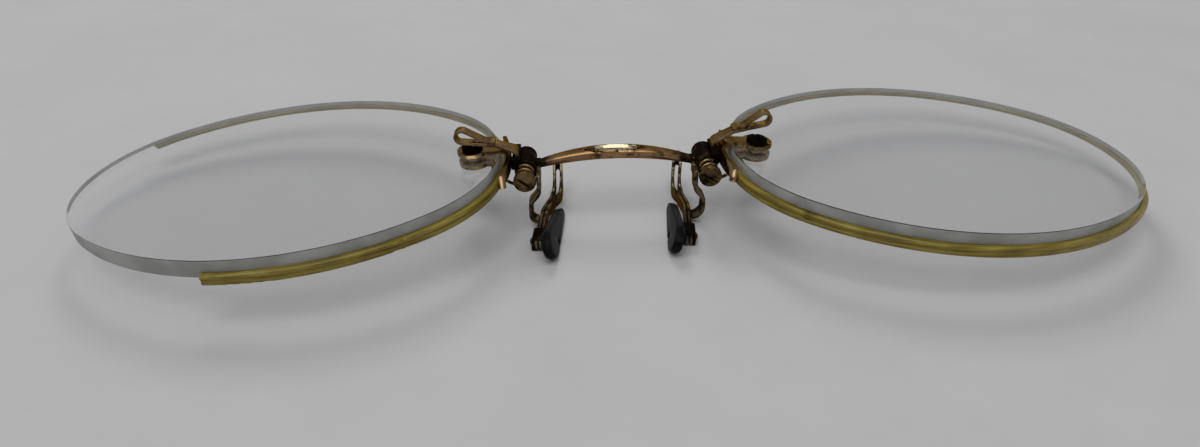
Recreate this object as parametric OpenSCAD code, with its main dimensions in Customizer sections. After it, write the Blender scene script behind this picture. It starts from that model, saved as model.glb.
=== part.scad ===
// Finger-piece pince-nez lying on a table, in millimetres.
// X runs across the face, Y is up on the wearer's face, Z points away from the face.
// Every piece is drawn on the right-hand side and mirrored for the left-hand side.

/* [Lenses] */
// Width of a lens along its long axis
lens_w = 38.5; // [36:0.5:41]
// Height of a lens along its short axis
lens_h = 29.5; // [28:0.5:31]
// Thickness of the glass at its edge
lens_edge = 1.4; // [1.2:0.1:1.7]
// Extra half thickness of the glass at the middle of the lens
lens_bulge = 0.2; // [0.1:0.05:0.3]
// Downward tilt of each lens towards its outer end, in degrees
face_form = 3.4; // [2:0.2:4]
// Turn of each lens in its own plane, outer end up, in degrees
lens_turn = 3.1; // [0:0.1:5]

/* [Rim strips] */
// Reach of the strip outside the edge of the glass
rim_out = 0.6; // [0.5:0.05:0.8]
// Depth of the lip that the strip hooks behind the glass
rim_lip = 0.35; // [0.2:0.05:0.5]
// Height of the bare band of glass edge in front of the strip
rim_bare = 0.9; // [0.7:0.05:1]
// Thickness of the strip behind the glass
rim_back = 0.48; // [0.4:0.02:0.6]
// Radius of the strip's outer corners
rim_round = 0.25; // [0.15:0.05:0.3]
// Angle on the outer end of the left lens at which the rear of its strip is broken off
break_rear = 38; // [30:1:46]
// Angle on the near side of the left lens at which its strip is broken off
break_front = 275; // [262:1:290]

/* [Bridge] */
// Half of the length of the bridge bar between its two studs
bridge_half = 6.9; // [6.7:0.1:6.95]
// Rise of the bar's arch above its ends
bridge_rise = 1.0; // [0.6:0.05:1.2]
// Width of the bar along Y at its middle
bridge_w = 1.7; // [1.5:0.1:1.9]
// Thickness of the bar at its middle
bridge_t = 1.05; // [0.95:0.05:1.2]
// Width of the bar at its ends
bridge_end_w = 1.0; // [0.9:0.05:1.2]
// Thickness of the bar at its ends
bridge_end_t = 0.7; // [0.6:0.05:0.8]
// Depth of the polished flat on the crown of the bar
bridge_flat = 0.12; // [0.05:0.01:0.2]
// Middle of the bar's width along Y
bridge_y = -0.3; // [-0.5:0.1:0]

/* [Pivots] */
// Distance from the end of the bridge bar to the pivot axis
stud_reach = 1.4; // [1.35:0.05:1.5]
// Height of both pivot axes above the table
hub_z = 5.2; // [5.1:0.05:5.4]
// Radius of the stud's barrel and of the lever's ears
barrel_r = 1.0; // [0.9:0.05:1.05]
// Length of the stud's barrel
barrel_len = 2.1; // [2:0.1:2.4]
// Thickness of each ear of the lever
ear_t = 0.45; // [0.35:0.05:0.55]
// Running clearance between the lever and what it turns against
run_gap = 0.05; // [0.03:0.01:0.08]
// Radius of the pivot screw's shank
shank_r = 0.45; // [0.35:0.05:0.5]
// Radius of the pivot screw's head
head_r = 1.02; // [0.9:0.02:1.1]
// Thickness of the pivot screw's head
head_t = 0.7; // [0.6:0.05:0.8]
// Width of the slots in the screw heads
slot_w = 0.3; // [0.2:0.05:0.4]
// Depth of the slots in the screw heads
slot_d = 0.28; // [0.2:0.02:0.35]
// Turn of the slot in the right pivot screw, in degrees
slot_turn_right = -28; // [-90:1:90]
// Turn of the slot in the left pivot screw, in degrees
slot_turn_left = -36; // [-90:1:90]

/* [Coil springs] */
// Diameter of the spring wire
wire_d = 0.3; // [0.25:0.01:0.32]
// Mean radius of the coil round the pivot screw
coil_r = 0.75; // [0.7:0.01:0.78]
// Rise of the coil in one turn
coil_pitch = 0.735; // [0.73:0.005:0.8]
// Number of turns of the coil
coil_turns = 1.633; // [1.6:0.001:1.65]

/* [Lens straps] */
// Distance from the pivot axis to the inner edge of the glass
strap_reach = 2.35; // [2.3:0.05:2.6]
// Height of the middle of the glass edge above the pivot axis, at the strap
strap_rise = 0.5; // [0.45:0.05:0.6]
// Thickness of the strap's sheet metal
strap_t = 0.35; // [0.3:0.01:0.36]
// Width of the strap's neck
strap_neck = 1.7; // [1.4:0.1:1.9]
// Place of the strap's middle line along Y
strap_y = -0.1; // [-0.15:0.05:0]
// Distance of the lens screw from the inner edge of the glass
screw_in = 2.4; // [2.2:0.05:2.8]
// Radius of the round ends of the strap over the screw
strap_end_r = 1.4; // [1.2:0.05:1.5]
// Bend radius of the strap, at the middle of its sheet
strap_bend = 0.4; // [0.3:0.02:0.45]
// Reach of the shoe towards the viewer, along Y
shoe_near = -4.2; // [-4.4:0.05:-4.1]
// Reach of the shoe away from the viewer, along Y
shoe_far = 3.3; // [2.4:0.1:4]
// Height of the shoe's strip
shoe_h = 1.3; // [1.1:0.1:1.5]
// Radius of the curled bead at the shoe's near end
bead_r = 0.33; // [0.25:0.01:0.4]
// Radius of the lens screw's head
lens_head_r = 0.95; // [0.85:0.05:1]
// Height of the lens screw's head
lens_head_t = 0.5; // [0.45:0.05:0.6]
// Height of the neck that joins the stud to the strap
neck_h = 0.6; // [0.5:0.05:0.65]

/* [Finger pieces] */
// Height of the finger strip's seat above the pivot axis
seat_rise = 1.25; // [1.22:0.01:1.3]
// Distance outboard from the pivot axis to the middle of the finger strip's foot
seat_x = 0.7; // [0.65:0.05:0.8]
// Thickness of the finger strip
finger_t = 0.28; // [0.24:0.02:0.34]
// Width of the finger strip at its root
finger_root_w = 1.5; // [1.3:0.1:1.6]
// Width of the finger strip at its loop
finger_tip_w = 0.62; // [0.5:0.02:0.8]
// Middle of the right finger strip's width along Y
finger_y_right = 0.1; // [0:0.05:0.2]
// Middle of the left finger strip's width along Y
finger_y_left = -0.7; // [-0.9:0.05:0.2]
// Length of the finger strip's steep stretch
finger_steep = 1.5; // [1.3:0.1:1.7]
// Length of the finger strip from its steep stretch to the loop
finger_len = 2.9; // [2.6:0.1:3.2]
// Clear gap inside the finger loop
finger_gap = 0.9; // [0.7:0.05:1.1]
// Rise of the right finger strip where it is steep, in degrees
finger_rise_right = 31; // [26:1:34]
// Rise of the left finger strip where it is steep, in degrees
finger_rise_left = 20; // [20:1:28]
// Angle by which the right finger strip flattens towards its loop, in degrees
finger_flatten_right = 20; // [14:1:22]
// Angle by which the left finger strip flattens towards its loop, in degrees
finger_flatten_left = 15; // [8:1:16]
// Angle at which the loop's return strand closes on the lower one, in degrees
finger_close = 25; // [22:1:28]

/* [Guards] */
// Thickness of each guard strand
guard_t = 0.3; // [0.24:0.02:0.32]
// Thickness of the guard arm
arm_t = 0.4; // [0.3:0.02:0.42]
// Turn of both guards seen from above, their near ends to the left, in degrees
guard_turn = 5.5; // [0:0.5:6]
// Distance that the right guard is bent inboard
guard_shift_right = 0.3; // [0:0.05:0.3]
// Height of the guard strip standing on the table
guard_w = 1.1; // [0.9:0.05:1.2]
// Distance inboard from the pivot axis to the guard strip's middle
guard_in = 1.45; // [1.35:0.05:1.5]
// Distance inboard from the pivot axis to the guard arm's middle
arm_in = 1.2; // [1.18:0.01:1.25]
// Near end of the guard strip along Y
guard_near = -7.2; // [-7.4:0.1:-7.1]
// Place along Y where the guard strip bends towards the nose
guard_bend = -2.2; // [-2.2:0.1:-1.8]
// Inward slant of the guard strip past that bend, in degrees
guard_slant = 14; // [11:1:15]
// Gap between the two strands where they lie together
strand_gap = 0.06; // [0.04:0.01:0.1]
// Distance between the middles of the strands in the hairpin
hairpin_w = 0.66; // [0.62:0.02:0.8]
// Length along the table of the guard strip, from its near end to its upward bend
guard_flat = 8.5; // [8.2:0.1:8.8]
// Angle of the guard strip's upward bend, in degrees
guard_lift = 45; // [38:1:50]
// Width of the guard arm along Y
arm_w = 1.2; // [1.0:0.05:1.2]

/* [Nose pads] */
// Thickness of a pad between its flat faces
pad_t = 0.86; // [0.8:0.02:0.9]
// Thickness that a pad's rounded edges would reach without its flat faces
pad_swell = 1.9; // [1.6:0.1:2.2]
// Lean of a pad's top away from the nose, in degrees
pad_tilt = 18; // [12:1:20]
// Height of a pad at its widest
pad_h = 2.4; // [2.2:0.02:2.5]
// Height of a pad at its far end
pad_tip_h = 0.95; // [0.8:0.05:1.2]
// Length of a pad
pad_len = 8.1; // [7.8:0.1:8.4]
// Length of the rounding at a pad's near end
pad_round = 1.6; // [1.4:0.1:1.8]
// Length of the rounding at a pad's far end
pad_tip_round = 0.6; // [0.5:0.05:0.8]
// Near end of a pad along Y
pad_near = -9.3; // [-9.4:0.1:-9.1]
// Radius of the rivet through the clip, the strip and the pad
rivet_r = 0.25; // [0.2:0.01:0.28]
// Place of the rivet along Y
rivet_y = -6.5; // [-6.6:0.1:-6.3]
// Height of the rivet above the table
rivet_z = 0.6; // [0.55:0.01:0.7]
// Radius of the rivet's outer bead
rivet_bead_r = 0.4; // [0.34:0.01:0.45]
// Depth of the dimple on the pad's nose side
dimple_d = 0.3; // [0.25:0.01:0.35]
// Thickness of the pad clip's sheet metal
clip_t = 0.25; // [0.2:0.01:0.25]
// Length of the pad clip along Y
clip_len = 1.8; // [1.6:0.1:2]
// Clearance between the clip and the strands that it holds
clip_gap = 0.02; // [0.01:0.01:0.03]

/* [Hidden] */

round_fn = 64;      // facets on a full circle of a small round
big_fn = 360;       // facets on a full circle of a lens outline
fit = 0.03;         // clearance of a part that is seated on another
drill_play = 0.15;  // clearance of the lens screw in the drilled glass
rivet_play = 0.02;  // clearance of the rivet in what it holds
thread_fit = 0.01;  // clearance of a screw in the hole that it is threaded into
eps = 0.01;         // overlap of the parts of one solid
bend_step = 6;      // most turn of one flat of a bent wire, in degrees
bar_sides = 24;     // sides of the bridge bar's section
bar_steps = 12;     // rings from the middle of the bar to each end
bar_power = 2.8;    // squareness of the bar's section, 2 for an ellipse
end_round = 0.2;    // radius of the edges of the stud's neck to the bar
tall = 30;          // longer than any cut has to be

// Lens outline: four arcs that meet at a common tangent
half_w = lens_w / 2;
half_h = lens_h / 2;
end_r = 1.08 * half_h * half_h / half_w;
side_r = (half_w * half_w + half_h * half_h - 2 * half_w * end_r) / (2 * (half_h - end_r));
end_x = half_w - end_r;
side_y = side_r - half_h;
joint_angle = atan2(side_y, end_x);

// Distances from the middle of the bridge along X
hub_x = bridge_half + stud_reach;
guard_x = hub_x - guard_in;
arm_x = hub_x - arm_in;

// Reach of the turned oval from its centre along X
lens_reach = end_x * cos(lens_turn) + end_r;
edge_x = hub_x + strap_reach;
edge_z = hub_z + strap_rise;
bulge_r = (half_w * half_w + lens_bulge * lens_bulge) / (2 * lens_bulge);
glass_face = lens_edge / 2;

// The strips reach further out on the right, so all is moved over to centre the outline
rim_top = glass_face - rim_bare;
rim_foot = -glass_face - rim_back;
lens_mid_x = edge_x + lens_reach * cos(face_form);
right_edge = lens_mid_x + cos(face_form) * (lens_reach + rim_out - rim_round)
    + sin(face_form) * (rim_top - rim_round) + rim_round;
left_edge = lens_mid_x + cos(face_form) * lens_reach + sin(face_form) * glass_face;
centre_shift = (right_edge - left_edge) / 2;

// Stack along the pivot axis
barrel_near = bridge_y - barrel_len / 2;
barrel_far = bridge_y + barrel_len / 2;
low_ear_far = barrel_near - run_gap;
low_ear_near = low_ear_far - ear_t;
high_ear_near = barrel_far + run_gap;
high_ear_far = high_ear_near + ear_t;
coil_far = low_ear_near - run_gap - wire_d / 2;
coil_near = coil_far - coil_turns * coil_pitch;
head_back = coil_near - wire_d / 2 - 2 * run_gap;
shank_hole_r = shank_r + run_gap;
thread_r = shank_r + thread_fit;

// Levels of the yoke and of the stud's neck, from the pivot axis
neck_low = -0.35;
neck_top = neck_low + neck_h;
block_over = 0.17;
block_low = neck_top + block_over;
block_in = 0.45;
block_out = 1.15;
lug_top = 0.3;
lug_low = -0.6;
arm_face = arm_x + arm_t / 2;

// Strap levels in the plane of the lens
ear_face = glass_face + lens_bulge * 0.5;
wall_x = -(rim_out + fit);
shoe_r = end_r + rim_out + fit;

// Guard strip
strand_off = (strand_gap + guard_t) / 2;
strip_half = strand_off + guard_t / 2;
clip_top = guard_w + clip_gap + clip_t;
pad_back = guard_x - strip_half - clip_gap - clip_t - fit;
pad_mid_z = pad_h / 2 * cos(pad_tilt);
pad_mid = pad_back - pad_t / 2 / cos(pad_tilt) - (clip_top - pad_mid_z) * tan(pad_tilt);
// Where the rivet's axis meets the pad's nose side
pad_face = pad_mid - pad_t / 2 / cos(pad_tilt) - (pad_mid_z - rivet_z) * tan(pad_tilt);

// A rounded rectangle of width w and height h with its lower left corner at the origin
module round_box(w, h, r) {
    translate([r, 0]) square([w - 2 * r, h]);
    translate([0, r]) square([w, h - 2 * r]);
    for (x = [r, w - r], y = [r, h - r]) translate([x, y]) circle(r = r, $fn = round_fn);
}

// A sector of a ring about the origin, from angle a0 through turn degrees
module ring_sector(r, t, a0, turn) {
    intersection() {
        difference() {
            circle(r = r + t / 2, $fn = round_fn);
            circle(r = r - t / 2, $fn = round_fn);
        }
        polygon(concat(
            [[0, 0]], [for (k = [0:4]) 4 * (r + t) * [cos(a0 + turn * k / 4), sin(a0 + turn * k / 4)]]
        ));
    }
}

// The edge view of a strip of thickness t, bent as steps says: [length] runs straight
// ahead, and [radius, angle] bends it, to the left where the angle is positive
module bent_strip(steps, t, i = 0) {
    if (i < len(steps)) {
        s = steps[i];
        if (len(s) == 1) {
            translate([-eps, -t / 2]) square([s[0] + 2 * eps, t]);
            translate([s[0], 0]) bent_strip(steps, t, i + 1);
        } else {
            side = sign(s[1]);
            turn = s[1];
            translate([0, side * s[0]]) ring_sector(s[0], t, -90 * side, turn);
            translate([s[0] * sin(abs(turn)), side * s[0] * (1 - cos(turn))])
                rotate(turn) bent_strip(steps, t, i + 1);
        }
    }
}

// The place at share u of the way round bend s, which starts at place at: [x, y, heading]
function bend_place(at, s, u) =
    let (side = sign(s[1]), a = at[2], b = a + u * s[1])
        [at[0] + side * s[0] * (sin(b) - sin(a)), at[1] - side * s[0] * (cos(b) - cos(a)), b];

// Places along the middle line of a strip that is bent as steps says
function bent_line(steps, i = 0, at = [0, 0, 0]) =
    i == len(steps) ? [at] :
    let (s = steps[i], n = len(s) == 1 ? 1 : ceil(abs(s[1]) / bend_step))
        len(s) == 1
            ? concat([at], bent_line(steps, i + 1, at + [s[0] * cos(at[2]), s[0] * sin(at[2]), 0]))
            : concat(
                [for (k = [0:n - 1]) bend_place(at, s, k / n)], bent_line(steps, i + 1, bend_place(at, s, 1))
            );

// The same view as bent_strip in one outline, its bends in small flats: for long wires
module bent_wire(steps, t) {
    line = bent_line(steps);
    sides = [for (p = line) t / 2 * [-sin(p[2]), cos(p[2])]];
    polygon(concat(
        [for (k = [0:len(line) - 1]) [line[k][0], line[k][1]] + sides[k]],
        [for (k = [len(line) - 1:-1:0]) [line[k][0], line[k][1]] - sides[k]]
    ));
}

// Shapes drawn in X and Z, carried from y0 to y1
module across(y0, y1) {
    translate([0, y1, 0]) rotate([90, 0, 0]) linear_extrude(y1 - y0) children();
}

// Shapes drawn in Y and Z, carried from x0 to x1
module sideways(x0, x1) {
    translate([x0, 0, 0]) rotate([90, 0, 90]) linear_extrude(x1 - x0) children();
}

module at_right() {
    translate([-centre_shift, 0, 0]) children();
}

module at_left() {
    translate([-centre_shift, 0, 0]) mirror([1, 0, 0]) children();
}

// The plane of the right lens, with its inner edge at x = 0
module lens_plane() {
    translate([edge_x, 0, edge_z]) rotate([0, face_form, 0]) children();
}

// The right lens's own axes, with its centre at the origin
module lens_axes() {
    lens_plane() translate([lens_reach, 0, 0]) rotate(lens_turn) children();
}

module oval() {
    for (s = [-1, 1]) translate([s * end_x, 0]) circle(r = end_r, $fn = big_fn);
    intersection() {
        translate([0, side_y]) circle(r = side_r, $fn = big_fn);
        translate([0, -side_y]) circle(r = side_r, $fn = big_fn);
        square([2 * end_x + 2 * end_r * cos(joint_angle), lens_h + 1], center = true);
    }
}

// Height of the glass face above the middle plane, at distance r from the lens's centre
function face_height(r) = glass_face + lens_bulge - bulge_r + sqrt(bulge_r * bulge_r - r * r);

// Half of the section through the middle of the glass
module glass_section() {
    rings = 9;
    rim = half_w + 0.5;
    polygon(concat(
        [for (k = [0:rings]) [rim * k / rings, face_height(rim * k / rings)]],
        [for (k = [rings:-1:0]) [rim * k / rings, -face_height(rim * k / rings)]]
    ));
}

module lens() {
    difference() {
        lens_axes() intersection() {
            rotate_extrude($fn = 120) glass_section();
            translate([0, 0, -lens_edge]) linear_extrude(2 * lens_edge) oval();
        }
        lens_plane() translate([screw_in, strap_y, -2 * lens_edge])
            cylinder(r = shank_r + drill_play, h = 4 * lens_edge, $fn = round_fn);
    }
}

// Section of the rim strip, with the edge of the glass at x = 0
module rim_section() {
    h = rim_top - rim_foot;
    groove_r = 0.2;
    groove_d = 0.06;
    groove_z = rim_foot + 0.52 * h;
    lip_top = -face_height(half_h - rim_lip) - fit;
    difference() {
        union() {
            translate([0, rim_foot]) difference() {
                round_box(rim_out, h, rim_round);
                translate([-1, -1]) square([1 + fit, h + 2]);
            }
            translate([fit, rim_foot]) square([rim_round, h]);
            translate([-rim_lip, rim_foot]) square([rim_lip + 2 * fit, lip_top - rim_foot]);
        }
        translate([rim_out + groove_r - groove_d, groove_z]) circle(r = groove_r, $fn = round_fn);
    }
}

// One arc of the rim strip, about the middle [cx, cy] of an arc of the oval
module rim_arc(cx, cy, r, from, to) {
    translate([cx, cy, 0]) rotate(from)
        rotate_extrude(angle = to - from, $fn = big_fn) translate([r, 0]) rim_section();
}

// A tongue inside the strip that ties two arcs at angle a of the arc about [cx, cy]
module rim_tongue(cx, cy, r, a) {
    side = 0.28;
    skin = 0.1;
    translate([cx, cy, 0]) rotate(a) translate([r + skin, -side / 2, rim_foot + skin]) cube(side);
}

// Room in the strip for the rear leaf of the strap
module rim_notch() {
    lens_plane() translate([-strap_reach, strap_y - strap_neck / 2 - fit, -tall])
        cube([strap_reach + screw_in, strap_neck + 2 * fit, tall - ear_face + fit]);
}

module rim(outer_from, outer_to, near_to) {
    difference() {
        lens_axes() {
            rim_arc(-end_x, 0, end_r, 180 - joint_angle, 180 + joint_angle);
            rim_arc(0, -side_y, side_r, joint_angle, 180 - joint_angle);
            rim_arc(0, side_y, side_r, 180 + joint_angle, near_to);
            rim_arc(end_x, 0, end_r, outer_from, outer_to);
            for (a = [180 - joint_angle, 180 + joint_angle]) rim_tongue(-end_x, 0, end_r, a);
            rim_tongue(end_x, 0, end_r, joint_angle);
            if (outer_from < 0) rim_tongue(end_x, 0, end_r, -joint_angle);
        }
        rim_notch();
    }
}

// A point of the bar's section, at angle a round a rounded square of width w and height h
function bar_point(w, h, a) =
    let (c = cos(a), s = sin(a), k = pow(pow(abs(c), bar_power) + pow(abs(s), bar_power), -1 / bar_power))
        [w / 2 * c * k, h / 2 * s * k];

// One ring of the bar at place x, with the share u of its middle section
function bar_ring(x, u) = [
    for (i = [0:bar_sides - 1])
        let (
            p = bar_point(
                bridge_end_w + (bridge_w - bridge_end_w) * u, bridge_end_t + (bridge_t - bridge_end_t) * u,
                360 * i / bar_sides
            )
        ) [x, bridge_y + p[0], hub_z + bridge_rise * u + p[1]]
];

// The arched bar, which tapers from its middle to its ends, with a polished flat on its crown
module bridge_bar() {
    rings = [
        for (k = [-bar_steps:bar_steps]) bar_ring(bridge_half * k / bar_steps, 1 - pow(k / bar_steps, 2))
    ];
    points = [for (ring = rings) each ring];
    walls = [
        for (i = [0:2 * bar_steps - 1], j = [0:bar_sides - 1])
            let (a = i * bar_sides + j, b = i * bar_sides + (j + 1) % bar_sides)
                each [[a, b, a + bar_sides], [b, b + bar_sides, a + bar_sides]]
    ];
    last = 2 * bar_steps * bar_sides;
    caps = [for (j = [1:bar_sides - 2]) each [[0, j + 1, j], [last, last + j, last + j + 1]]];
    crown = hub_z + bridge_rise + bridge_t / 2 - bridge_flat;
    intersection() {
        polyhedron(points = points, faces = concat(walls, caps));
        translate([-tall / 2, -tall / 2, 0]) cube([tall, tall, crown]);
    }
}

// The pivot barrel, with a neck to the bridge and a neck to the strap
module stud() {
    difference() {
        union() {
            translate([hub_x, barrel_far, hub_z]) rotate([90, 0, 0])
                cylinder(r = barrel_r, h = barrel_len, $fn = round_fn);
            translate([bridge_half, bridge_y - bridge_end_w / 2, hub_z - bridge_end_t / 2])
                sideways(0, stud_reach) round_box(bridge_end_w, bridge_end_t, end_round);
            translate([hub_x, strap_y - strap_neck / 2, hub_z + neck_low])
                cube([strap_reach, strap_neck, neck_h]);
        }
        translate([hub_x, tall / 2, hub_z]) rotate([90, 0, 0])
            cylinder(r = thread_r, h = tall, $fn = round_fn);
        lens_plane() translate([wall_x - strap_t, -tall / 2, -tall / 2]) cube(tall);
    }
}

// The strap's edge view: rear leaf, wall and front leaf in one bent sheet
module strap_bends() {
    mid = ear_face + fit + strap_t / 2;
    leaf_end = screw_in + strap_end_r + 0.5;
    leaf = leaf_end - (wall_x - strap_t / 2 + strap_bend);
    translate([leaf_end, -mid]) rotate(180)
        bent_strip([[leaf], [strap_bend, -90], [2 * (mid - strap_bend)], [strap_bend, -90], [leaf]], strap_t);
}

// The strap's outline seen from the front: a neck with a round end over the screw
module strap_outline() {
    translate([screw_in, strap_y]) circle(r = strap_end_r, $fn = round_fn);
    translate([wall_x - strap_t - 1, strap_y - strap_neck / 2])
        square([screw_in - wall_x + strap_t + 1, strap_neck]);
}

// The strip that follows the edge of the lens on both sides of the strap
module shoe() {
    sink = 0.1;
    low = -shoe_h / 2 - sink;
    centre_y = -end_x * sin(lens_turn);
    near_angle = asin((centre_y - shoe_near) / shoe_r);
    far_angle = asin((shoe_far - centre_y) / shoe_r);
    lens_axes() translate([-end_x, 0, low]) rotate(-lens_turn) {
        rotate(180 - far_angle) rotate_extrude(angle = far_angle + near_angle, $fn = big_fn)
            translate([shoe_r, 0]) square([strap_t, shoe_h]);
        rotate(180 + near_angle) translate([shoe_r + bead_r, 0, 0])
            cylinder(r = bead_r, h = shoe_h, $fn = round_fn);
    }
}

module strap() {
    difference() {
        union() {
            lens_plane() intersection() {
                across(strap_y - strap_end_r, strap_y + strap_end_r) strap_bends();
                translate([0, 0, -tall / 2]) linear_extrude(tall) strap_outline();
            }
            shoe();
        }
        lens_plane() translate([screw_in, strap_y, 0]) {
            cylinder(r = shank_hole_r, h = 4, $fn = round_fn);
            translate([0, 0, -4]) cylinder(r = thread_r, h = 4.1, $fn = round_fn);
        }
    }
}

// A domed, slotted screw head of radius r and height h, standing on z = 0
module screw_head(r, h, slot_turn) {
    dome = h * 0.45;
    dome_r = (r * r + dome * dome) / (2 * dome);
    difference() {
        intersection() {
            cylinder(r = r, h = h, $fn = round_fn);
            translate([0, 0, h - dome_r]) sphere(r = dome_r, $fn = 160);
        }
        rotate(slot_turn) translate([-2 * r, -slot_w / 2, h - slot_d]) cube([4 * r, slot_w, slot_d + 1]);
    }
}

module lens_screw() {
    seat = ear_face + fit + strap_t;
    lens_plane() translate([screw_in, strap_y, 0]) {
        translate([0, 0, seat]) screw_head(lens_head_r, lens_head_t, 90);
        translate([0, 0, -seat]) cylinder(r = shank_r, h = 2 * seat + eps, $fn = round_fn);
    }
}

module pivot_screw(slot_turn) {
    translate([hub_x, 0, hub_z]) {
        translate([0, head_back, 0]) rotate([90, 0, 0]) screw_head(head_r, head_t, slot_turn);
        translate([0, high_ear_far, 0]) rotate([90, 0, 0])
            cylinder(r = shank_r, h = high_ear_far - head_back + eps, $fn = round_fn);
    }
}

// Coil spring: one tube through points worked out from the coil's own sizes
coil_steps = 14;
start_angle = -72;
hook_straight = 1.05;
hook_low = -0.05;
hook_play = 0.05;
knee_cut = 0.2;
tuck_r = 0.3;
tuck_len = 0.32;
end_angle = start_angle - 360 * coil_turns;
// Direction of the wire at angle a, going round from the hook to the lever
function around(a) = [sin(a), 0, -cos(a)];
function coil_point(k) = let (a = start_angle - 360 * coil_turns * k / coil_steps)
    [coil_r * cos(a), coil_near + (coil_far - coil_near) * k / coil_steps, coil_r * sin(a)];
// Where the hook lies against the strap's shoe
shoe_mid_x = strap_reach + cos(face_form) * (lens_reach - end_x * cos(lens_turn));
hook_angle = 13.5;
hook_out = shoe_r + strap_t + wire_d / 2 + hook_play;
hook_tip = [
    shoe_mid_x - hook_out * cos(hook_angle),
    -end_x * sin(lens_turn) - hook_out * sin(hook_angle), hook_low
];
hook_knee = coil_point(0) - hook_straight * around(start_angle);
hook_way = (hook_tip - hook_knee) / norm(hook_tip - hook_knee);
tuck_start = coil_point(coil_steps);
function tuck_point(a) = tuck_start + tuck_r * (sin(a) * around(end_angle) + [0, 1 - cos(a), 0]);
tuck_mouth = tuck_point(90);
wire_points = concat(
    [hook_tip, hook_tip - wire_d * hook_way, hook_knee + knee_cut * hook_way],
    [hook_knee + knee_cut * around(start_angle)],
    [for (k = [0:coil_steps]) coil_point(k)],
    [for (a = [30, 60, 90]) tuck_point(a)],
    [tuck_mouth + [0, tuck_len, 0]]
);
wire_last = len(wire_points) - 1;
function unit(v) = v / norm(v);
function wire_way(i) = unit(wire_points[min(i + 1, wire_last)] - wire_points[max(i - 1, 0)]);
// Least gap of the coil to itself, between points at least half a turn apart
coil_gap = min([
    for (i = [0:coil_steps], j = [0:coil_steps]) if (j - i > coil_steps / coil_turns / 2)
        norm(coil_point(i) - coil_point(j))
]) - wire_d;
echo(coil_gap_to_itself_mm = coil_gap);

module coil_spring() {
    sides = 6;
    rings = [
        for (i = [0:wire_last])
            let (way = wire_way(i), out = unit(cross(way, [0.02, 1, 0.03])), up = cross(way, out))
                [for (s = [0:sides - 1])
                    wire_points[i] + wire_d / 2 * (cos(360 * s / sides) * out + sin(360 * s / sides) * up)]
    ];
    points = [for (ring = rings) each ring];
    walls = [
        for (i = [0:wire_last - 1], s = [0:sides - 1])
            let (a = i * sides + s, b = i * sides + (s + 1) % sides)
                each [[a, a + sides, b], [b, a + sides, b + sides]]
    ];
    near_cap = [for (s = [1:sides - 2]) [0, s, s + 1]];
    far_first = wire_last * sides;
    far_cap = [for (s = [1:sides - 2]) [far_first, far_first + s + 1, far_first + s]];
    translate([hub_x, 0, hub_z]) polyhedron(points = points, faces = concat(walls, near_cap, far_cap));
}

// One ear of the yoke, seen along the pivot axis
module ear_outline(lug) {
    circle(r = barrel_r, $fn = round_fn);
    block_outline();
    if (lug) translate([arm_face - hub_x, lug_low]) square([hub_x - arm_face, lug_top - lug_low]);
}

module block_outline() {
    translate([block_in, block_low]) square([block_out - block_in, seat_rise - block_low]);
}

// The lever's middle piece: two ears and the seat of the finger strip
module yoke() {
    difference() {
        translate([hub_x, 0, hub_z]) {
            across(low_ear_near, low_ear_far) ear_outline(true);
            across(high_ear_near, high_ear_far) ear_outline(false);
            across(low_ear_near, high_ear_far) difference() {
                block_outline();
                circle(r = barrel_r + 2 * run_gap, $fn = round_fn);
            }
        }
        translate([hub_x, tall / 2, hub_z]) rotate([90, 0, 0])
            cylinder(r = shank_hole_r, h = tall, $fn = round_fn);
        translate([hub_x + tuck_mouth[0], low_ear_far + eps, hub_z + tuck_mouth[2]]) rotate([90, 0, 0])
            cylinder(r = wire_d / 2 + 0.05, h = ear_t + 1, $fn = round_fn);
    }
}

// The finger strip seen from above: wide at its root, with a waist before the loop
module finger_outline() {
    waist = finger_steep + 1;
    w0 = finger_root_w / 2;
    w1 = finger_tip_w / 2;
    waist_w = w1 + 0.14;
    polygon([
        [-1, -w0], [root_r, -w0], [waist, -waist_w], [tall, -w1],
        [tall, w1], [waist, waist_w], [root_r, w0], [-1, w0]
    ]);
}

// The strip stands on the yoke, bends out, flattens and turns back on itself in an open loop
root_r = 0.5;
module finger_strip(rise, flatten, y) {
    loop_r = (finger_gap + finger_t) / 2;
    soft = 1.0;
    tail = 0.7;
    close = finger_close;
    back = (loop_r * (1 + cos(close)) - soft * (1 - cos(close)) - finger_t) / sin(close);
    translate([hub_x + seat_x, y, hub_z + seat_rise]) intersection() {
        across(-finger_root_w, finger_root_w) rotate(90) bent_strip([
            [0], [root_r, rise - 90], [finger_steep], [soft, -flatten], [finger_len],
            [loop_r, 180 + close], [back], [soft, -close], [tail]
        ], finger_t);
        translate([0, 0, -tall / 2]) linear_extrude(tall) finger_outline();
        translate([-tall / 2, -tall / 2, 0]) cube(tall);
    }
}

// Greatest distance of the arm's middle line from the middle of the bridge
arm_out_r = 1.2;
arm_back_r = 0.9;
arm_swing = 40;
arm_slant = 0.5;
arm_bulge = arm_x + (arm_out_r + arm_back_r) * (1 - cos(arm_swing)) + arm_slant * sin(arm_swing);
arm_near = head_back + 2 * run_gap;
// Clearance of the arm's foot, whose face is square to X, from the turned strip
foot_play = arm_w / 2 * sin(guard_turn);

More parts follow.
